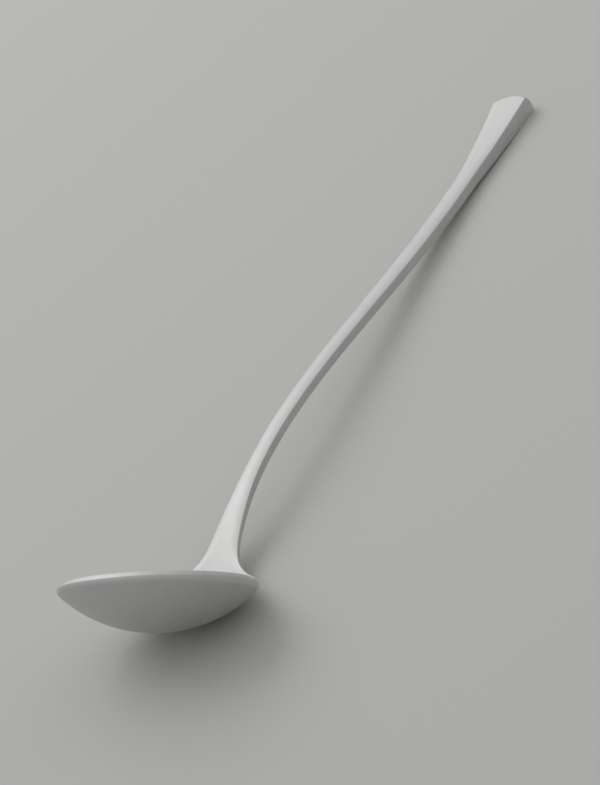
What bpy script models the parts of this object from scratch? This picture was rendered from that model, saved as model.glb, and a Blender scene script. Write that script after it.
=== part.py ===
"""A satin steel serving ladle, lying on its back as it rests on a table.

A shallow round bowl with an upright rim is joined to a forged flat handle by one ground weld.
The handle arches over the table and comes down on a flat land under its thick tip.
Metres, +Z up, the table at z = 0, the handle running from the bowl towards +X.
The origin is on the table, under the middle of the ladle's length.
"""
import math

import bmesh
import bpy
from mathutils import Vector

# Bowl: a spherical cap under a short upright collar, measured outside, from the lip's outer edge
BOWL_RADIUS = 0.0325
BOWL_DEPTH = 0.0148
BOWL_COLLAR = 0.0015
BOWL_WALL = 0.0017
BOWL_LEAN = math.radians(43.2)
SHOULDER_ROUND = 0.0026
LIP_ANGLE = math.radians(50.0)

# Weld between the bowl's lip and the foot of the handle, with the gap on either side of it
SEAM_HEIGHT = 0.0008
SEAM_GAP = 0.0003
SEAM_OVERRUN = 0.0025

# Handle: the curve of its upper face, from the lip to the tip
HANDLE_REACH = 0.3150
ROOT_SPLAY = math.radians(19.8)
ROOT_PULL = 0.0805
TIP_PULL = 0.1270
TIP_SLOPE = math.radians(4.3)
SEAT_BLEND = 0.008

# Handle: its width
NECK_WIDTH = 0.0164
NECK_LENGTH = 0.0600
BAR_WIDTH_AT_NECK = 0.0053
BAR_WIDTH_AT_TIP = 0.0081
TIP_WIDTH = 0.0139
TIP_FLARE = 0.0530
TIP_FLARE_POWER = 1.09
FLARE_HEIGHT = 0.0236
FLARE_REACH = 0.0635
FLARE_POWER = 4.50

# Handle: its thickness
BAR_THICKNESS_AT_NECK = 0.0033
BAR_THICKNESS_AT_TIP = 0.0045
NECK_THICKENING = 0.0565
TIP_THICKNESS = 0.0083
TIP_SWELL = 0.0940
TIP_SWELL_POWER = 3.38
LAND_DEPTH = 0.0008

# Handle: the end, rounded across and domed through its thickness, and the broken edges
END_BULGE = 0.0024
END_DOME = 0.0017
END_LEAN = -0.0006
END_ZONE = 0.018
END_ROUND = 0.0004
EDGE_BREAK = 0.0003
LIP_BREAK = 0.0001

# Fineness of the facets
BOWL_SEGMENTS = 72
BOWL_RINGS = 12
SHOULDER_RINGS = 4
SEAM_SEGMENTS = 24
FACETS_ACROSS = 6
FACETS_DOWN = 8
FACETS_ROUND_END = 2
ROOT_STATIONS = 18
BAR_STATIONS = 26
TIP_STATIONS = 22
CURVE_SAMPLES = 600
STATION_CROWDING = 1.6
SHARP_ANGLE = math.radians(25)
WELD_DISTANCE = 3e-6

# The bowl's sphere, and the round between it and the collar, by the height and radius of their centres
CAP_DEPTH = BOWL_DEPTH - BOWL_COLLAR
SPHERE = (BOWL_RADIUS ** 2 + CAP_DEPTH ** 2) / (2 * CAP_DEPTH)
SPHERE_CENTRE = SPHERE - BOWL_DEPTH
ROUND_RADIUS = BOWL_RADIUS - SHOULDER_ROUND
SHOULDER_ANGLE = math.asin(ROUND_RADIUS / (SPHERE - SHOULDER_ROUND))
ROUND_CENTRE = SPHERE_CENTRE - ROUND_RADIUS / math.tan(SHOULDER_ANGLE)

# Width of the lip, bevelled across the collar's wall
LIP_WIDTH = BOWL_WALL / math.sin(LIP_ANGLE)

# Colour and roughness of the blasted sheet and bar, and of the ground weld
SATIN_STEEL = (0.60, 0.60, 0.58)
WELD_STEEL = (0.56, 0.56, 0.55)
BOWL_ROUGHNESS = 0.38
HANDLE_ROUGHNESS = 0.36
WELD_ROUGHNESS = 0.45


def clear_scene():
    for old in list(bpy.data.objects):
        bpy.data.objects.remove(old, do_unlink=True)


def steel(name, colour, roughness):
    material = bpy.data.materials.new(name)
    material.use_nodes = True
    shader = material.node_tree.nodes["Principled BSDF"]
    shader.inputs["Base Color"].default_value = (*colour, 1.0)
    shader.inputs["Metallic"].default_value = 1.0
    shader.inputs["Roughness"].default_value = roughness
    return material


def empty(name, parent=None):
    holder = bpy.data.objects.new(name, None)
    holder.parent = parent
    bpy.context.scene.collection.objects.link(holder)
    return holder


def piece(name, bm, material, parent):
    bmesh.ops.recalc_face_normals(bm, faces=bm.faces)
    mesh = bpy.data.meshes.new(name)
    bm.to_mesh(mesh)
    bm.free()
    mesh.shade_smooth()
    mesh.set_sharp_from_angle(angle=SHARP_ANGLE)
    mesh.materials.append(material)
    solid = bpy.data.objects.new(name, mesh)
    solid.parent = parent
    bpy.context.scene.collection.objects.link(solid)
    return solid


def smooth_step(value):
    value = min(max(value, 0.0), 1.0)
    return value * value * (3 - 2 * value)


# Directions in the bowl's own radius and height: square out of the lip, and over it from inside to outside
def rise_direction():
    return Vector((math.cos(LIP_ANGLE), math.sin(LIP_ANGLE)))


def lip_direction():
    return Vector((math.sin(LIP_ANGLE), -math.cos(LIP_ANGLE)))


def lip_point(from_outside, above):
    """A point over the lip, by its distance from the outer edge and its height over the lip's face."""
    edge = Vector((BOWL_RADIUS, 0.0))
    return edge - lip_direction() * from_outside + rise_direction() * above


def rim_height():
    """Height of the rim's centre when the leaning bowl touches the table."""
    if BOWL_LEAN < SHOULDER_ANGLE:
        return SPHERE - SPHERE_CENTRE * math.cos(BOWL_LEAN)
    return SHOULDER_ROUND + ROUND_RADIUS * math.sin(BOWL_LEAN) - ROUND_CENTRE * math.cos(BOWL_LEAN)


def to_table(point):
    """Turns a bowl radius and height, in the plane of symmetry, into X and Z over the table."""
    cos, sin = math.cos(BOWL_LEAN), math.sin(BOWL_LEAN)
    return Vector((point.x * cos + point.y * sin, rim_height() - point.x * sin + point.y * cos))


def to_bowl(point):
    """The reverse of to_table."""
    cos, sin = math.cos(BOWL_LEAN), math.sin(BOWL_LEAN)
    height = point.y - rim_height()
    return Vector((point.x * cos - height * sin, point.x * sin + height * cos))


# Bowl
def wall_profile(inset):
    """The bowl's wall at a depth under its outside: up the sphere, then round into the collar."""
    sphere, corner = SPHERE - inset, SHOULDER_ROUND - inset
    points = []
    for ring in range(BOWL_RINGS):
        angle = SHOULDER_ANGLE * ring / BOWL_RINGS
        points.append(Vector((sphere * math.sin(angle), SPHERE_CENTRE - sphere * math.cos(angle))))
    for ring in range(SHOULDER_RINGS + 1):
        angle = SHOULDER_ANGLE + (math.pi / 2 - SHOULDER_ANGLE) * ring / SHOULDER_RINGS
        radius = ROUND_RADIUS + corner * math.sin(angle)
        points.append(Vector((radius, ROUND_CENTRE - corner * math.cos(angle))))
    return points


def bowl_profile():
    below = Vector((0.0, LIP_BREAK))
    lip = [lip_point(0.0, 0.0) - below, lip_point(LIP_BREAK, 0.0)]
    lip += [lip_point(LIP_WIDTH - LIP_BREAK, 0.0), lip_point(LIP_WIDTH, 0.0) - below]
    return wall_profile(0.0) + lip + wall_profile(BOWL_WALL)[::-1]


def make_bowl(parent):
    bm = bmesh.new()
    verts = [bm.verts.new((radius, 0.0, height)) for radius, height in bowl_profile()]
    for low, high in zip(verts, verts[1:]):
        bm.edges.new((low, high))
    bmesh.ops.spin(bm, geom=bm.verts[:] + bm.edges[:], cent=(0, 0, 0), axis=(0, 0, 1),
                   angle=math.tau, steps=BOWL_SEGMENTS, use_merge=True)
    bmesh.ops.remove_doubles(bm, verts=bm.verts, dist=WELD_DISTANCE)
    return piece("bowl", bm, steel("bowl_steel", SATIN_STEEL, BOWL_ROUGHNESS), parent)


# Weld seam
def make_seam(parent, half_angle):
    low, high = SEAM_GAP, SEAM_GAP + SEAM_HEIGHT
    outside, inside = LIP_BREAK, LIP_WIDTH - LIP_BREAK
    corners = [(outside, low), (outside, high), (inside, high), (inside, low)]
    bm = bmesh.new()
    verts = []
    for from_outside, above in corners:
        spot = lip_point(from_outside, above)
        verts.append(bm.verts.new((spot.x * math.cos(half_angle), -spot.x * math.sin(half_angle), spot.y)))
    start = bm.faces.new(verts)
    bmesh.ops.spin(bm, geom=[start], cent=(0, 0, 0), axis=(0, 0, 1),
                   angle=2 * half_angle, steps=SEAM_SEGMENTS, use_merge=False)
    return piece("weld_seam", bm, steel("weld_steel", WELD_STEEL, WELD_ROUGHNESS), parent)


# Handle: the curve along the middle of its upper face
def handle_controls():
    root = to_table(lip_point(LIP_WIDTH, 2 * SEAM_GAP + SEAM_HEIGHT))
    rise = BOWL_LEAN + ROOT_SPLAY
    leaving = root + ROOT_PULL * Vector((math.sin(rise), math.cos(rise)))
    tip = Vector((HANDLE_REACH, TIP_THICKNESS * math.cos(TIP_SLOPE) - LAND_DEPTH))
    arriving = tip - TIP_PULL * Vector((math.cos(TIP_SLOPE), math.sin(TIP_SLOPE)))
    return root, leaving, arriving, tip


def curve_point(controls, t):
    a, b, c, d = controls
    s = 1 - t
    return a * s ** 3 + b * (3 * s * s * t) + c * (3 * s * t * t) + d * t ** 3


def curve_tangent(controls, t):
    a, b, c, d = controls
    s = 1 - t
    return ((b - a) * (s * s) + (c - b) * (2 * s * t) + (d - c) * (t * t)).normalized()


class Spine:
    """The handle's centre curve, looked up by the length along it."""

    def __init__(self):
        self.controls = handle_controls()
        points = [curve_point(self.controls, i / CURVE_SAMPLES) for i in range(CURVE_SAMPLES + 1)]
        self.lengths = [0.0]
        for before, after in zip(points, points[1:]):
            self.lengths.append(self.lengths[-1] + (after - before).length)
        self.length = self.lengths[-1]

    def parameter(self, along):
        along = min(max(along, 0.0), self.length)
        low, high = 0, CURVE_SAMPLES
        while high - low > 1:
            middle = (low + high) // 2
            if self.lengths[middle] <= along:
                low = middle
            else:
                high = middle
        share = (along - self.lengths[low]) / (self.lengths[high] - self.lengths[low])
        return (low + share) / CURVE_SAMPLES

    def point(self, along):
        return curve_point(self.controls, self.parameter(along))

    def through(self, along):
        """Direction from the upper face to the underside: along the lip at the root, then square."""
        tangent = curve_tangent(self.controls, self.parameter(along))
        square = Vector((tangent.y, -tangent.x))
        seat = to_table(lip_direction()) - to_table(Vector((0.0, 0.0)))
        return seat.lerp(square, smooth_step(along / SEAT_BLEND)).normalized()


# Handle: its section at a length along the curve
def height_over_lip(point):
    """Height of a point over the lip's inner edge, along the bowl's axis."""
    return to_bowl(point).y - lip_point(LIP_WIDTH, 0.0).y


def half_width(spine, along):
    left = spine.length - along
    bar = BAR_WIDTH_AT_NECK + (BAR_WIDTH_AT_TIP - BAR_WIDTH_AT_NECK) * along / spine.length
    swell = max(1 - left / TIP_FLARE, 0.0) ** TIP_FLARE_POWER
    neck = max(1 - along / NECK_LENGTH, 0.0) ** 2
    width = bar + (TIP_WIDTH - bar) * swell + (NECK_WIDTH - bar) * neck
    drop = min(max(1 - height_over_lip(spine.point(along)) / FLARE_HEIGHT, 0.0), 1.0)
    return width / 2 + FLARE_REACH * (1 - (1 - drop ** FLARE_POWER) ** (1 / FLARE_POWER))


def thickness(spine, along):
    left = spine.length - along
    bar = BAR_THICKNESS_AT_NECK + (BAR_THICKNESS_AT_TIP - BAR_THICKNESS_AT_NECK) * along / spine.length
    start = LIP_WIDTH + (bar - LIP_WIDTH) * smooth_step(along / NECK_THICKENING)
    return start + (TIP_THICKNESS - start) * max(1 - left / TIP_SWELL, 0.0) ** TIP_SWELL_POWER


def section_outline(half, thick, inset):
    """Across and through the bar, round its four broken corners, starting on the upper face."""
    reach = half - inset
    flat = reach - EDGE_BREAK
    top, bottom = inset, thick - inset
    straight = bottom - top - 2 * EDGE_BREAK
    across = [flat * (2 * step / FACETS_ACROSS - 1) for step in range(FACETS_ACROSS + 1)]
    down = [top + EDGE_BREAK + straight * step / FACETS_DOWN for step in range(FACETS_DOWN + 1)]
    outline = [(y, top) for y in across]
    outline += [(reach, depth) for depth in down]
    outline += [(y, bottom) for y in reversed(across)]
    outline += [(-reach, depth) for depth in reversed(down)]
    return outline


def place(spine, along, y, depth):
    """A point of the handle: wrapped round the bowl's axis at the root, bowed back at the rounded end."""
    end_share = smooth_step(1 - (spine.length - along) / END_ZONE)
    down = depth / TIP_THICKNESS
    domed = END_BULGE * (2 * y / TIP_WIDTH) ** 2 + END_DOME * (2 * down - 1) ** 2 + END_LEAN * down
    along -= end_share * domed
    flat = spine.point(along) + spine.through(along) * depth
    in_bowl = to_bowl(flat)
    wrap = min(max(1 - height_over_lip(flat) / FLARE_HEIGHT, 0.0), 1.0)
    turn = y / in_bowl.x if wrap else 0.0
    radius = in_bowl.x + (in_bowl.x * math.cos(turn) - in_bowl.x) * wrap
    side = y + (in_bowl.x * math.sin(turn) - y) * wrap
    spot = to_table(Vector((radius, in_bowl.y)))
    return Vector((spot.x, side, spot.y))


def stations(spine):
    """Length along the handle, and inset, of each section: close together in the foot and in the tip."""
    foot, tip = NECK_LENGTH / 2, spine.length - TIP_FLARE
    stops = [foot * (step / ROOT_STATIONS) ** STATION_CROWDING for step in range(ROOT_STATIONS)]
    stops += [foot + (tip - foot) * step / BAR_STATIONS for step in range(BAR_STATIONS)]
    last = spine.length - END_ROUND
    stops += [tip + (last - tip) * step / TIP_STATIONS for step in range(TIP_STATIONS + 1)]
    straight = [(along, 0.0) for along in stops]
    angles = [math.pi / 2 * step / FACETS_ROUND_END for step in range(1, FACETS_ROUND_END + 1)]
    rounded = [(last + END_ROUND * math.sin(turn), END_ROUND * (1 - math.cos(turn))) for turn in angles]
    return straight + rounded


def cap(bm, spine, along, outline, ring):
    """Closes an end with rows of points across it, one row for each point down its sides."""
    across, down = FACETS_ACROSS + 1, FACETS_DOWN + 1
    upper, right = ring[:across], ring[across:across + down]
    lower, left = ring[across + down:2 * across + down][::-1], ring[2 * across + down:][::-1]
    rows = []
    for step in range(down):
        depth = outline[across + step][1]
        between = [bm.verts.new(place(spine, along, y, depth)) for y, _ in outline[:across]]
        rows.append([left[step], *between, right[step]])
    for above, below in zip(rows, rows[1:]):
        for step in range(across + 1):
            bm.faces.new((above[step], above[step + 1], below[step + 1], below[step]))
    for edge, row in ((upper, rows[0]), (lower, rows[-1])):
        for step in range(FACETS_ACROSS):
            bm.faces.new((edge[step], edge[step + 1], row[step + 2], row[step + 1]))
        bm.faces.new((edge[0], row[1], row[0]))
        bm.faces.new((edge[-1], row[-1], row[-2]))


def rest_land(bm):
    """Cuts the underside of the tip flat on the table."""
    cut = bmesh.ops.bisect_plane(bm, geom=bm.verts[:] + bm.edges[:] + bm.faces[:], dist=WELD_DISTANCE,
                                 plane_co=(0, 0, 0), plane_no=(0, 0, -1), clear_outer=True)
    edges = [element for element in cut["geom_cut"] if isinstance(element, bmesh.types.BMEdge)]
    for edge in edges:
        for vert in edge.verts:
            vert.co.z = 0.0
    bmesh.ops.edgeloop_fill(bm, edges=edges)


def make_handle(parent, spine):
    bm = bmesh.new()
    rings = []
    for along, inset in stations(spine):
        outline = section_outline(half_width(spine, along), thickness(spine, along), inset)
        ring = [bm.verts.new(place(spine, along, y, depth)) for y, depth in outline]
        rings.append((along, outline, ring))
    for (_, _, near), (_, _, far) in zip(rings, rings[1:]):
        for step in range(len(near)):
            after = (step + 1) % len(near)
            bm.faces.new((near[step], near[after], far[after], far[step]))
    for end in (rings[0], rings[-1]):
        cap(bm, spine, *end)
    rest_land(bm)
    return piece("handle", bm, steel("handle_steel", SATIN_STEEL, HANDLE_ROUGHNESS), parent)


def centre_over_origin(holder, pieces):
    bpy.context.view_layer.update()
    reach = [(solid.matrix_world @ vert.co).x for solid in pieces for vert in solid.data.vertices]
    holder.location.x = -(min(reach) + max(reach)) / 2


def main():
    clear_scene()
    ladle = empty("ladle")
    bowl_seat = empty("bowl_seat", ladle)
    bowl_seat.location.z = rim_height()
    bowl_seat.rotation_euler.y = BOWL_LEAN
    spine = Spine()
    foot_half_angle = half_width(spine, 0.0) / BOWL_RADIUS
    pieces = [
        make_bowl(bowl_seat),
        make_seam(bowl_seat, foot_half_angle + SEAM_OVERRUN / BOWL_RADIUS),
        make_handle(ladle, spine),
    ]
    centre_over_origin(ladle, pieces)


main()
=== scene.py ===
"""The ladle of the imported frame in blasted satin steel, on a pale floor: bowl, handle and ground weld.

Metres, in the row's frame: +Z up from the table, +X from the bowl towards the handle's tip.
"""
import math

import bmesh
import bpy
from mathutils import Matrix, Vector


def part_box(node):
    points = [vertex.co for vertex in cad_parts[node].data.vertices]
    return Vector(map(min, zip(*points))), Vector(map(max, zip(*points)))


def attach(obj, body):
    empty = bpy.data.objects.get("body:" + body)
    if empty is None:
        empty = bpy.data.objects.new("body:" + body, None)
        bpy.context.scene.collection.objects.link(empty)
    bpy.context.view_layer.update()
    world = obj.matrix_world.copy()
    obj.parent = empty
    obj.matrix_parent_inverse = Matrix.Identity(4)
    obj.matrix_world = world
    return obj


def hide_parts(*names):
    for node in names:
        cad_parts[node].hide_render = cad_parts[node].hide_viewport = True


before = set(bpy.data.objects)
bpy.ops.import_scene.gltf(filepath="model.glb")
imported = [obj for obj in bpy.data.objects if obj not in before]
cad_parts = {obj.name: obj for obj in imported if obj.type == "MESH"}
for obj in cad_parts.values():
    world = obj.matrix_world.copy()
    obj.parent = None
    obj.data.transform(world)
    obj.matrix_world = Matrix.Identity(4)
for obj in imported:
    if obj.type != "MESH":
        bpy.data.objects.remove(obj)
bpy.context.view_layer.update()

# Bowl: a spherical cap under a short upright collar, measured outside, from the lip's outer edge
BOWL_RADIUS = 0.0325
BOWL_DEPTH = 0.0148
BOWL_COLLAR = 0.0015
BOWL_WALL = 0.0017
BOWL_LEAN = math.radians(43.2)
SHOULDER_ROUND = 0.0026

# Lip: how far its bevel looks up from straight outwards, and how its edges are eased and worn
LIP_ANGLE = math.radians(50.0)
LIP_EASE = 0.00022
LIP_WEAR = 0.2

# Weld: its height over the lip under the foot's middle, how far it stands proud, its bedding and wear
SEAM_TOP = 0.0014
SEAM_PROUD = 0.00005
SEAM_SUNK = 0.00025
SEAM_WEAR = 0.3

# Foot: the tails at its two ends, the length of handle that bends down with them, and how late they bend
TAIL_LENGTH = 0.005
TAIL_RISE = 0.003
TAIL_POWER = 4

# Handle: the curve of its upper face, from the weld to the tip
HANDLE_REACH = 0.31497
ROOT_SPLAY = math.radians(19.8)
ROOT_PULL = 0.0805
TIP_PULL = 0.1270
TIP_SLOPE = math.radians(4.3)
SEAT_BLEND = 0.008

# Handle: its width
NECK_WIDTH = 0.0164
NECK_LENGTH = 0.0600
BAR_WIDTH_AT_NECK = 0.0053
BAR_WIDTH_AT_TIP = 0.0081
TIP_WIDTH = 0.0139
TIP_FLARE = 0.0530
TIP_FLARE_POWER = 1.09
FLARE_HEIGHT = 0.0236
FLARE_REACH = 0.0635
FLARE_POWER = 4.50

# Handle: its thickness, and the land that rests on the table
BAR_THICKNESS_AT_NECK = 0.0033
BAR_THICKNESS_AT_TIP = 0.0045
NECK_THICKENING = 0.0565
TIP_THICKNESS = 0.0083
TIP_SWELL = 0.0940
TIP_SWELL_POWER = 3.38
LAND_DEPTH = 0.0008

# Handle: the end, rounded across and domed through its thickness
END_BULGE = 0.0024
END_DOME = 0.0017
END_LEAN = -0.0006
END_ZONE = 0.018
END_ROUND = 0.0004

# Handle: the round edges, and how the upper face falls away to them, clear of the foot and less in the tip
EDGE_RADIUS = 0.00035
FACE_FALL = 0.0005
FALL_REACH = 0.0032
FALL_START = 0.015
FALL_LEFT_AT_TIP = 0.2

# Fineness of the meshes, and the start of the bowl's columns, in segments from the plane of symmetry
BOWL_SEGMENTS = 192
COLUMN_START = 0.5
BOWL_RINGS = 40
SHOULDER_RINGS = 10
LIP_STEPS = 8
ROUND_STEPS = 4
SEAM_STEPS = 160
SEAM_PROFILE = 6
FACE_STEPS = 48
SIDE_STEPS = 8
ROOT_STATIONS = 70
BAR_STATIONS = 90
TIP_STATIONS = 60
END_STATIONS = 6
STATION_CROWDING = 1.7
CURVE_SAMPLES = 800
SHARP_ANGLE = math.radians(35)
MERGE_DISTANCE = 2e-6

# Steel: dull and bright tones of the blasted faces and of the ground weld, and their roughness
FACE_DULL = (0.56, 0.56, 0.555)
FACE_BRIGHT = (0.66, 0.66, 0.655)
FACE_ROUGHNESS = 0.60
WELD_DULL = (0.53, 0.53, 0.525)
WELD_BRIGHT = (0.62, 0.62, 0.615)
WELD_ROUGHNESS = 0.62

# Steel: scale and detail of its patterns, and the part of their range that is used
CLOUD_SCALE, CLOUD_DETAIL = 55, 3
STROKE_SCALES, STROKE_DETAIL = (45, 1400, 1400), 2
GRAIN_SCALE, GRAIN_DETAIL = 3800, 2
RUB_SCALE, RUB_DETAIL = 260, 3
NOISE_LOW, NOISE_HIGH = 0.3, 0.7

# Steel: how far each pattern moves the tone, the roughness and the surface
CLOUD_TONE, STROKE_TONE, RUB_TONE, RUB_LEAST = 0.55, 0.3, 0.5, 0.15
CLOUD_ROUGHENING, STROKE_ROUGHENING, GRAIN_ROUGHENING, RUB_POLISH = 0.04, 0.03, 0.03, 0.12
GRAIN_STRENGTH, GRAIN_HEIGHT = 0.22, 0.00004

# Camera: the photograph's view, its long side on the sensor's width
IMAGE_HEIGHT = 785
FOCAL_PIXELS = 4550
SENSOR = 36.0
CAMERA_AZIMUTH = math.radians(-52.97)
CAMERA_ELEVATION = math.radians(26.77)
CAMERA_ROLL = math.radians(26.72)
CAMERA_DISTANCE = 1.4625
CAMERA_AIM = Vector((-0.0913, -0.0455, 0.0548))

# Stage: floor, softbox and sky
FLOOR_SIZE = 12.0
FLOOR_COLOUR = (0.54, 0.54, 0.53)
FLOOR_ROUGHNESS = 0.9
FLOOR_SHINE = 0.1
FLOOR_SQUARES = 4
SOFTBOX_DIRECTION = Vector((0.31, 0.55, 0.725))
SOFTBOX_LONG_WAY = Vector((0.73, 0.0, -0.48))
SOFTBOX_DISTANCE = 1.6
SOFTBOX_LENGTH = 2.0
SOFTBOX_WIDTH = 1.2
SOFTBOX_POWER = 10.0
SKY_ZENITH = 0.66
SKY_HORIZON = 0.38

# The bowl's sphere, and the round between it and the collar, by the height and radius of their centres
CAP_DEPTH = BOWL_DEPTH - BOWL_COLLAR
SPHERE = (BOWL_RADIUS ** 2 + CAP_DEPTH ** 2) / (2 * CAP_DEPTH)
SPHERE_CENTRE = SPHERE - BOWL_DEPTH
ROUND_RADIUS = BOWL_RADIUS - SHOULDER_ROUND
SHOULDER_ANGLE = math.asin(ROUND_RADIUS / (SPHERE - SHOULDER_ROUND))
ROUND_CENTRE = SPHERE_CENTRE - ROUND_RADIUS / math.tan(SHOULDER_ANGLE)

# Width of the lip, bevelled across the collar's wall
LIP_WIDTH = BOWL_WALL / math.sin(LIP_ANGLE)


def smooth_step(value):
    value = min(max(value, 0.0), 1.0)
    return value * value * (3 - 2 * value)


# Shape of the bowl, in its own radius and height
def rise_direction():
    return Vector((math.cos(LIP_ANGLE), math.sin(LIP_ANGLE)))


def lip_direction():
    return Vector((math.sin(LIP_ANGLE), -math.cos(LIP_ANGLE)))


def lip_point(from_outside, above):
    """A point over the lip, by its distance from the outer edge and its height over the lip's face."""
    edge = Vector((BOWL_RADIUS, 0.0))
    return edge - lip_direction() * from_outside + rise_direction() * above


def rim_height():
    """Height of the rim's centre when the leaning bowl touches the table."""
    if BOWL_LEAN < SHOULDER_ANGLE:
        return SPHERE - SPHERE_CENTRE * math.cos(BOWL_LEAN)
    return SHOULDER_ROUND + ROUND_RADIUS * math.sin(BOWL_LEAN) - ROUND_CENTRE * math.cos(BOWL_LEAN)


def to_table(point):
    """Turns a bowl radius and height, in the plane of symmetry, into X and Z over the table."""
    cos, sin = math.cos(BOWL_LEAN), math.sin(BOWL_LEAN)
    return Vector((point.x * cos + point.y * sin, rim_height() - point.x * sin + point.y * cos))


def to_bowl(point):
    """The reverse of to_table."""
    cos, sin = math.cos(BOWL_LEAN), math.sin(BOWL_LEAN)
    height = point.y - rim_height()
    return Vector((point.x * cos - height * sin, point.x * sin + height * cos))


def turned(radius, height, angle):
    """A point of the bowl's solid of revolution, over the table."""
    spot = to_table(Vector((radius * math.cos(angle), height)))
    return Vector((spot.x, radius * math.sin(angle), spot.y))


# The curve along the middle of the handle's upper face
def handle_controls():
    root = to_table(lip_point(LIP_WIDTH, SEAM_TOP))
    rise = BOWL_LEAN + ROOT_SPLAY
    leaving = root + ROOT_PULL * Vector((math.sin(rise), math.cos(rise)))
    tip = Vector((HANDLE_REACH, TIP_THICKNESS * math.cos(TIP_SLOPE) - LAND_DEPTH))
    arriving = tip - TIP_PULL * Vector((math.cos(TIP_SLOPE), math.sin(TIP_SLOPE)))
    return root, leaving, arriving, tip


def curve_point(controls, t):
    a, b, c, d = controls
    s = 1 - t
    return a * s ** 3 + b * (3 * s * s * t) + c * (3 * s * t * t) + d * t ** 3


def curve_tangent(controls, t):
    a, b, c, d = controls
    s = 1 - t
    return ((b - a) * (s * s) + (c - b) * (2 * s * t) + (d - c) * (t * t)).normalized()


class Spine:
    """The middle of the handle's upper face, looked up by the length along it."""

    def __init__(self):
        self.controls = handle_controls()
        points = [curve_point(self.controls, i / CURVE_SAMPLES) for i in range(CURVE_SAMPLES + 1)]
        self.lengths = [0.0]
        for before, after in zip(points, points[1:]):
            self.lengths.append(self.lengths[-1] + (after - before).length)
        self.length = self.lengths[-1]

    def parameter(self, along):
        along = min(max(along, 0.0), self.length)
        low, high = 0, CURVE_SAMPLES
        while high - low > 1:
            middle = (low + high) // 2
            if self.lengths[middle] <= along:
                low = middle
            else:
                high = middle
        share = (along - self.lengths[low]) / (self.lengths[high] - self.lengths[low])
        return (low + share) / CURVE_SAMPLES

    def point(self, along):
        return curve_point(self.controls, self.parameter(along))

    def through(self, along):
        """Direction from the upper face to the underside: along the lip at the root, then square."""
        tangent = curve_tangent(self.controls, self.parameter(along))
        square = Vector((tangent.y, -tangent.x))
        seat = to_table(lip_direction()) - to_table(Vector((0.0, 0.0)))
        return seat.lerp(square, smooth_step(along / SEAT_BLEND)).normalized()


# The handle's section at a length along the curve
def height_over_lip(point):
    """Height of a point over the lip's inner edge, along the bowl's axis."""
    return to_bowl(point).y - lip_point(LIP_WIDTH, 0.0).y


def tail_share(along):
    """Share of the tails' bend: all of it at the foot, none a little way up the handle."""
    return max(1 - along / TAIL_RISE, 0.0) ** 2


def run_out(across):
    """How far foot and weld have run out, by the share of the half width: little until near the ends."""
    return min(abs(across), 1.0) ** TAIL_POWER


def half_width(spine, along):
    left = spine.length - along
    bar = BAR_WIDTH_AT_NECK + (BAR_WIDTH_AT_TIP - BAR_WIDTH_AT_NECK) * along / spine.length
    swell = max(1 - left / TIP_FLARE, 0.0) ** TIP_FLARE_POWER
    neck = max(1 - along / NECK_LENGTH, 0.0) ** 2
    width = bar + (TIP_WIDTH - bar) * swell + (NECK_WIDTH - bar) * neck
    drop = min(max(1 - height_over_lip(spine.point(along)) / FLARE_HEIGHT, 0.0), 1.0)
    flare = FLARE_REACH * (1 - (1 - drop ** FLARE_POWER) ** (1 / FLARE_POWER))
    return width / 2 + flare + TAIL_LENGTH * tail_share(along)


def thickness(spine, along):
    left = spine.length - along
    bar = BAR_THICKNESS_AT_NECK + (BAR_THICKNESS_AT_TIP - BAR_THICKNESS_AT_NECK) * along / spine.length
    start = LIP_WIDTH + (bar - LIP_WIDTH) * smooth_step(along / NECK_THICKENING)
    return start + (TIP_THICKNESS - start) * max(1 - left / TIP_SWELL, 0.0) ** TIP_SWELL_POWER


def face_fall(spine, along):
    """How far the upper face's edges lie under its middle."""
    in_tip = smooth_step(1 - (spine.length - along) / TIP_FLARE)
    return FACE_FALL * smooth_step(along / FALL_START) * (1 + (FALL_LEFT_AT_TIP - 1) * in_tip)


def corner(centre_y, centre_depth, start, stop):
    """Points of one round edge with their wear, between two angles measured from straight across."""
    points = []
    for step in range(1, ROUND_STEPS):
        angle = start + (stop - start) * step / ROUND_STEPS
        y = centre_y + EDGE_RADIUS * math.cos(angle)
        points.append((y, centre_depth - EDGE_RADIUS * math.sin(angle), 1.0))
    return points


def section_outline(half, thick, inset, fall):
    """Across, through and wear of the bar's outline: a face that falls off to its edges, a flat underside."""
    reach = half - inset
    flat = reach - EDGE_RADIUS
    top, bottom = inset, thick - inset
    shoulder, heel = top + fall + EDGE_RADIUS, bottom - EDGE_RADIUS
    across = [-flat * math.cos(math.pi * step / FACE_STEPS) for step in range(FACE_STEPS + 1)]
    down = [shoulder + (heel - shoulder) * step / SIDE_STEPS for step in range(SIDE_STEPS + 1)]
    square = math.pi / 2
    outline = [(y, top + fall * max(1 - (flat - abs(y)) / FALL_REACH, 0.0) ** 2, 0.0) for y in across]
    outline += corner(flat, shoulder, square, 0.0)
    outline += [(reach, depth, 0.0) for depth in down]
    outline += corner(flat, heel, 0.0, -square)
    outline += [(y, bottom, 0.0) for y in reversed(across)]
    outline += corner(-flat, heel, -square, -2 * square)
    outline += [(-reach, depth, 0.0) for depth in reversed(down)]
    outline += corner(-flat, shoulder, 2 * square, square)
    return outline


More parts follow.
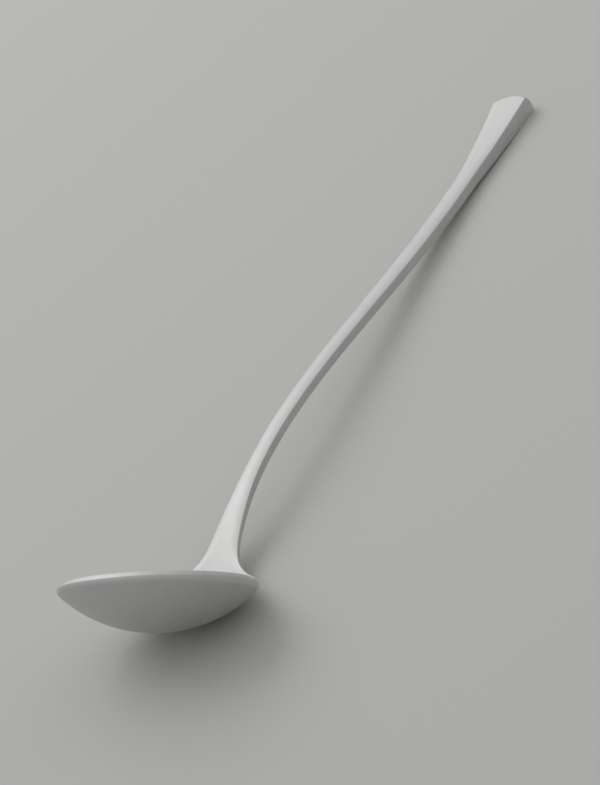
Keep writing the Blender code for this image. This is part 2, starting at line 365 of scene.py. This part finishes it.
def place(spine, along, y, depth):
    """A point of the handle: wrapped round the bowl at the root, tails on the lip, bowed back at the end."""
    end_share = smooth_step(1 - (spine.length - along) / END_ZONE)
    down = depth / TIP_THICKNESS
    domed = END_BULGE * (2 * y / TIP_WIDTH) ** 2 + END_DOME * (2 * down - 1) ** 2 + END_LEAN * down
    along -= end_share * domed
    flat = spine.point(along) + spine.through(along) * depth
    in_bowl = to_bowl(flat)
    seat = SEAM_TOP * math.sin(LIP_ANGLE)
    wrap = min(max((FLARE_HEIGHT - height_over_lip(flat)) / (FLARE_HEIGHT - seat), 0.0), 1.0)
    turn = y / in_bowl.x if wrap else 0.0
    bend = run_out(y / half_width(spine, along)) * tail_share(along)
    narrowed = LIP_EASE * (1 - 2 * depth / LIP_WIDTH)
    lowered = in_bowl + (lip_direction() * narrowed - rise_direction() * (SEAM_TOP + SEAM_SUNK)) * bend
    radius = lowered.x + (lowered.x * math.cos(turn) - lowered.x) * wrap
    side = y + (lowered.x * math.sin(turn) - y) * wrap
    spot = to_table(Vector((radius, lowered.y)))
    return Vector((spot.x, side, spot.y))


# Meshes
class Builder:
    """Collects points with their wear, and faces."""

    def __init__(self):
        self.bm = bmesh.new()
        self.wear = self.bm.verts.layers.float.new("wear")

    def vert(self, spot, wear):
        made = self.bm.verts.new(spot)
        made[self.wear] = wear
        return made

    def face(self, *verts):
        self.bm.faces.new(verts)

    def strip(self, near, far, closed):
        """Faces between two rows of as many points."""
        for step in range(len(near) if closed else len(near) - 1):
            after = (step + 1) % len(near)
            self.face(near[step], near[after], far[after], far[step])

    def finish(self, name, material, node):
        bmesh.ops.remove_doubles(self.bm, verts=self.bm.verts, dist=MERGE_DISTANCE)
        bmesh.ops.recalc_face_normals(self.bm, faces=self.bm.faces)
        mesh = bpy.data.meshes.new(name)
        self.bm.to_mesh(mesh)
        self.bm.free()
        mesh.shade_smooth()
        mesh.set_sharp_from_angle(angle=SHARP_ANGLE)
        mesh.materials.append(material)
        made = bpy.data.objects.new(name, mesh)
        bpy.context.scene.collection.objects.link(made)
        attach(made, "root")
        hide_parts(node)
        return made


def wall_profile(inset):
    """The bowl's wall at a depth under its outside: up the sphere, then round into the collar."""
    sphere, shoulder = SPHERE - inset, SHOULDER_ROUND - inset
    points = []
    for ring in range(BOWL_RINGS):
        angle = SHOULDER_ANGLE * ring / BOWL_RINGS
        points.append((sphere * math.sin(angle), SPHERE_CENTRE - sphere * math.cos(angle), 0.0))
    for ring in range(SHOULDER_RINGS + 1):
        angle = SHOULDER_ANGLE + (math.pi / 2 - SHOULDER_ANGLE) * ring / SHOULDER_RINGS
        radius = ROUND_RADIUS + shoulder * math.sin(angle)
        points.append((radius, ROUND_CENTRE - shoulder * math.cos(angle), 0.0))
    return points


def eased_edge(before, edge, after):
    """Points, with wear, of the curve that eases an edge between two straight stretches."""
    start = edge + (before - edge).normalized() * LIP_EASE
    stop = edge + (after - edge).normalized() * LIP_EASE
    points = []
    for step in range(LIP_STEPS + 1):
        t = step / LIP_STEPS
        spot = start * (1 - t) ** 2 + edge * (2 * t * (1 - t)) + stop * t ** 2
        points.append((spot.x, spot.y, LIP_WEAR))
    return points


def bowl_profile():
    """Radius, height and wear from the middle of the outside, over the lip, to the middle of the inside."""
    outside, inside = lip_point(0.0, 0.0), lip_point(LIP_WIDTH, 0.0)
    below = Vector((0.0, BOWL_COLLAR))
    outer_edge = eased_edge(outside - below, outside, inside)
    inner_edge = eased_edge(outside, inside, inside - below)
    middle = lip_point(LIP_WIDTH / 2, 0.0)
    lip = outer_edge + [(middle.x, middle.y, 0.0)] + inner_edge
    return wall_profile(0.0) + lip + wall_profile(BOWL_WALL)[::-1]


def make_bowl(material):
    build = Builder()
    outside, *wall, inside = bowl_profile()
    columns = []
    for segment in range(BOWL_SEGMENTS):
        angle = math.tau * (segment + COLUMN_START) / BOWL_SEGMENTS
        columns.append([build.vert(turned(radius, height, angle), wear) for radius, height, wear in wall])
    neighbours = list(zip(columns, columns[1:] + columns[:1]))
    for near, far in neighbours:
        build.strip(near, far, closed=False)
    bottom = build.vert(turned(outside[0], outside[1], 0.0), 0.0)
    floor = build.vert(turned(inside[0], inside[1], 0.0), 0.0)
    for near, far in neighbours:
        build.face(bottom, near[0], far[0])
        build.face(floor, near[-1], far[-1])
    return build.finish("ladle_bowl", material, "bowl")


def make_seam(material, spine):
    build = Builder()
    half = half_width(spine, 0.0)
    rows = []
    for step in range(SEAM_STEPS + 1):
        across = 2 * step / SEAM_STEPS - 1
        full = 1 - run_out(across)
        height = (SEAM_TOP + SEAM_SUNK) * full
        inset = LIP_EASE * run_out(across)
        row = []
        for side, from_outside in ((-1, inset), (1, LIP_WIDTH - inset)):
            angle = across * half / lip_point(from_outside, SEAM_TOP).x
            for level in range(SEAM_PROFILE + 1):
                share = level / SEAM_PROFILE if side < 0 else 1 - level / SEAM_PROFILE
                proud = SEAM_PROUD * math.sin(math.pi * share) * full
                spot = lip_point(from_outside + side * proud, height * share - SEAM_SUNK)
                row.append(build.vert(turned(spot.x, spot.y, angle), SEAM_WEAR))
        rows.append(row)
    for near, far in zip(rows, rows[1:]):
        build.strip(near, far, closed=True)
    build.face(*rows[0])
    build.face(*rows[-1])
    return build.finish("ladle_weld", material, "weld_seam")


def stations(spine):
    """Length along the handle, and inset, of each section: crowded in the foot and in the tip."""
    foot, tip = NECK_LENGTH / 2, spine.length - TIP_FLARE
    stops = [foot * (step / ROOT_STATIONS) ** STATION_CROWDING for step in range(ROOT_STATIONS)]
    stops += [foot + (tip - foot) * step / BAR_STATIONS for step in range(BAR_STATIONS)]
    last = spine.length - END_ROUND
    stops += [tip + (last - tip) * step / TIP_STATIONS for step in range(TIP_STATIONS + 1)]
    insets = [0.0] * len(stops)
    for step in range(1, END_STATIONS + 1):
        angle = math.pi / 2 * step / END_STATIONS
        stops.append(last + END_ROUND * math.sin(angle))
        insets.append(END_ROUND * (1 - math.cos(angle)))
    return list(zip(stops, insets))


def cap(build, spine, along, outline, ring):
    """Closes an end with rows of points across it, one row for each point down its sides."""
    lengths = (FACE_STEPS + 1, ROUND_STEPS - 1, SIDE_STEPS + 1, ROUND_STEPS - 1) * 2
    parts, first = [], 0
    for length in lengths:
        parts.append(ring[first:first + length])
        first += length
    upper, bend_1, right, bend_2, lower, bend_3, left, bend_4 = parts
    rows = []
    for step, sides in enumerate(zip(reversed(left), right)):
        depth = outline[len(upper) + len(bend_1) + step][1]
        between = [build.vert(place(spine, along, y, depth), 0.0) for y, _, _ in outline[:len(upper)]]
        rows.append([sides[0], *between, sides[1]])
    for above, below in zip(rows, rows[1:]):
        build.strip(above, below, closed=False)
    build.strip(upper, rows[0][1:-1], closed=False)
    build.strip(lower[::-1], rows[-1][1:-1], closed=False)
    build.face(upper[-1], *bend_1, right[0], rows[0][-2])
    build.face(right[-1], *bend_2, lower[0], rows[-1][-2])
    build.face(lower[-1], *bend_3, left[0], rows[-1][1])
    build.face(left[-1], *bend_4, upper[0], rows[0][1])


def rest_land(bm):
    """Cuts the underside of the tip flat on the table."""
    cut = bmesh.ops.bisect_plane(bm, geom=bm.verts[:] + bm.edges[:] + bm.faces[:], dist=MERGE_DISTANCE,
                                 plane_co=(0, 0, 0), plane_no=(0, 0, -1), clear_outer=True)
    edges = [element for element in cut["geom_cut"] if isinstance(element, bmesh.types.BMEdge)]
    for vert in {vert for edge in edges for vert in edge.verts}:
        vert.co.z = 0.0
    bmesh.ops.edgeloop_fill(bm, edges=edges)


def make_handle(material, spine):
    build = Builder()
    rings = []
    for along, inset in stations(spine):
        half, thick = half_width(spine, along), thickness(spine, along)
        outline = section_outline(half, thick, inset, face_fall(spine, along))
        ring = [build.vert(place(spine, along, y, depth), wear) for y, depth, wear in outline]
        rings.append((along, outline, ring))
    for (_, _, near), (_, _, far) in zip(rings, rings[1:]):
        build.strip(near, far, closed=True)
    for end in (rings[0], rings[-1]):
        cap(build, spine, *end)
    rest_land(build.bm)
    return build.finish("ladle_handle", material, "handle")


def seat_on_frame(bowl, pieces):
    """Slides the pieces along X until the bowl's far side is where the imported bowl's is."""
    far_side = min(vert.co.x for vert in bowl.data.vertices)
    shift = Matrix.Translation((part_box("bowl")[0].x - far_side, 0.0, 0.0))
    for made in pieces:
        made.data.transform(shift)


# Materials
class Nodes:
    """A material's node tree, with short ways to add and join nodes."""

    def __init__(self, name):
        self.material = bpy.data.materials.new(name)
        self.material.use_nodes = True
        self.tree = self.material.node_tree
        self.shader = self.tree.nodes["Principled BSDF"]

    def add(self, kind, **values):
        node = self.tree.nodes.new(kind)
        for key, value in values.items():
            setattr(node, key, value)
        return node

    def join(self, output, socket):
        self.tree.links.new(output, socket)

    def noise(self, scale, detail, stretch=(1, 1, 1)):
        place_node = self.add("ShaderNodeTexCoord")
        mapping = self.add("ShaderNodeMapping")
        mapping.inputs["Scale"].default_value = stretch
        texture = self.add("ShaderNodeTexNoise")
        texture.inputs["Scale"].default_value = scale
        texture.inputs["Detail"].default_value = detail
        self.join(place_node.outputs["Object"], mapping.inputs["Vector"])
        self.join(mapping.outputs["Vector"], texture.inputs["Vector"])
        return texture.outputs["Fac"]

    def spread(self, value, low, high):
        """A noise's used range laid out from low to high."""
        node = self.add("ShaderNodeMapRange")
        node.inputs["From Min"].default_value = NOISE_LOW
        node.inputs["From Max"].default_value = NOISE_HIGH
        node.inputs["To Min"].default_value = low
        node.inputs["To Max"].default_value = high
        self.join(value, node.inputs["Value"])
        return node.outputs["Result"]

    def maths(self, operation, first, second):
        node = self.add("ShaderNodeMath", operation=operation)
        for socket, value in zip(node.inputs, (first, second)):
            if isinstance(value, (int, float)):
                socket.default_value = value
            else:
                self.join(value, socket)
        return node.outputs["Value"]

    def blend(self, share, first, second):
        """A colour between two, by a share from 0 to 1."""
        node = self.add("ShaderNodeMix", data_type="RGBA")
        node.inputs["A"].default_value = (*first, 1.0)
        node.inputs["B"].default_value = (*second, 1.0)
        self.join(share, node.inputs["Factor"])
        return node.outputs["Result"]


def blasted_steel(name, dull, bright, roughness):
    """Fine-blasted steel: a grain of tiny pits, cloudy patches, faint strokes along X and rubbed edges."""
    nodes = Nodes(name)
    cloud = nodes.noise(CLOUD_SCALE, CLOUD_DETAIL)
    strokes = nodes.noise(1, STROKE_DETAIL, stretch=STROKE_SCALES)
    grain = nodes.noise(GRAIN_SCALE, GRAIN_DETAIL)
    patches = nodes.spread(nodes.noise(RUB_SCALE, RUB_DETAIL), RUB_LEAST, 1.0)
    wear_map = nodes.add("ShaderNodeAttribute", attribute_name="wear")
    rubbed = nodes.maths("MULTIPLY", wear_map.outputs["Fac"], patches)
    tone = nodes.maths("ADD", nodes.spread(cloud, 0.0, CLOUD_TONE), nodes.spread(strokes, 0.0, STROKE_TONE))
    tone = nodes.maths("ADD", tone, nodes.maths("MULTIPLY", rubbed, RUB_TONE))
    tone = nodes.maths("MINIMUM", tone, 1.0)
    nodes.join(nodes.blend(tone, dull, bright), nodes.shader.inputs["Base Color"])
    rough = nodes.spread(cloud, roughness - CLOUD_ROUGHENING, roughness + CLOUD_ROUGHENING)
    rough = nodes.maths("ADD", rough, nodes.spread(strokes, -STROKE_ROUGHENING, STROKE_ROUGHENING))
    rough = nodes.maths("ADD", rough, nodes.spread(grain, -GRAIN_ROUGHENING, GRAIN_ROUGHENING))
    rough = nodes.maths("SUBTRACT", rough, nodes.maths("MULTIPLY", rubbed, RUB_POLISH))
    nodes.join(rough, nodes.shader.inputs["Roughness"])
    bump = nodes.add("ShaderNodeBump")
    bump.inputs["Strength"].default_value = GRAIN_STRENGTH
    bump.inputs["Distance"].default_value = GRAIN_HEIGHT
    nodes.join(grain, bump.inputs["Height"])
    nodes.join(bump.outputs["Normal"], nodes.shader.inputs["Normal"])
    nodes.shader.inputs["Metallic"].default_value = 1.0
    return nodes.material


def floor_paint():
    nodes = Nodes("floor_paint")
    nodes.shader.inputs["Base Color"].default_value = (*FLOOR_COLOUR, 1.0)
    nodes.shader.inputs["Roughness"].default_value = FLOOR_ROUGHNESS
    nodes.shader.inputs["Specular IOR Level"].default_value = FLOOR_SHINE
    return nodes.material


# Stage
def make_floor():
    bm = bmesh.new()
    bmesh.ops.create_grid(bm, x_segments=FLOOR_SQUARES, y_segments=FLOOR_SQUARES, size=FLOOR_SIZE / 2)
    mesh = bpy.data.meshes.new("floor")
    bm.to_mesh(mesh)
    bm.free()
    mesh.materials.append(floor_paint())
    floor = bpy.data.objects.new("floor", mesh)
    bpy.context.scene.collection.objects.link(floor)


def make_softbox():
    lamp = bpy.data.lights.new("softbox", "AREA")
    lamp.shape = "RECTANGLE"
    lamp.size = SOFTBOX_LENGTH
    lamp.size_y = SOFTBOX_WIDTH
    lamp.energy = SOFTBOX_POWER
    softbox = bpy.data.objects.new("softbox", lamp)
    away = SOFTBOX_DIRECTION.normalized()
    short_way = away.cross(SOFTBOX_LONG_WAY).normalized()
    long_way = short_way.cross(away)
    softbox.matrix_world = Matrix((long_way, short_way, away)).transposed().to_4x4()
    softbox.location = away * SOFTBOX_DISTANCE
    softbox.visible_camera = False
    bpy.context.scene.collection.objects.link(softbox)


def make_sky():
    """A plain grey sky, brighter overhead than at the horizon."""
    world = bpy.data.worlds.new("studio")
    world.use_nodes = True
    tree = world.node_tree
    place_node = tree.nodes.new("ShaderNodeTexCoord")
    height = tree.nodes.new("ShaderNodeSeparateXYZ")
    level = tree.nodes.new("ShaderNodeMapRange")
    level.inputs["To Min"].default_value = SKY_HORIZON
    level.inputs["To Max"].default_value = SKY_ZENITH
    tree.links.new(place_node.outputs["Generated"], height.inputs["Vector"])
    tree.links.new(height.outputs["Z"], level.inputs["Value"])
    tree.links.new(level.outputs["Result"], tree.nodes["Background"].inputs["Strength"])
    tree.nodes["Background"].inputs["Color"].default_value = (1.0, 1.0, 1.0, 1.0)
    bpy.context.scene.world = world


def make_camera():
    data = bpy.data.cameras.new("camera")
    data.sensor_width = SENSOR
    data.lens = FOCAL_PIXELS / IMAGE_HEIGHT * SENSOR
    camera = bpy.data.objects.new("camera", data)
    level = math.cos(CAMERA_ELEVATION)
    sideways, away = math.sin(CAMERA_AZIMUTH) * level, -math.cos(CAMERA_AZIMUTH) * level
    back = Vector((sideways, away, math.sin(CAMERA_ELEVATION)))
    upright = (-back).to_track_quat("-Z", "Y").to_matrix()
    camera.rotation_euler = (upright @ Matrix.Rotation(-CAMERA_ROLL, 3, "Z")).to_euler()
    camera.location = CAMERA_AIM + back * CAMERA_DISTANCE
    bpy.context.scene.collection.objects.link(camera)
    bpy.context.scene.camera = camera


def make_ladle():
    spine = Spine()
    bowl = make_bowl(blasted_steel("bowl_steel", FACE_DULL, FACE_BRIGHT, FACE_ROUGHNESS))
    weld = make_seam(blasted_steel("weld_steel", WELD_DULL, WELD_BRIGHT, WELD_ROUGHNESS), spine)
    handle = make_handle(blasted_steel("handle_steel", FACE_DULL, FACE_BRIGHT, FACE_ROUGHNESS), spine)
    seat_on_frame(bowl, (bowl, weld, handle))


make_ladle()
make_floor()
make_softbox()
make_sky()
make_camera()
bpy.context.scene.view_settings.view_transform = "Standard"
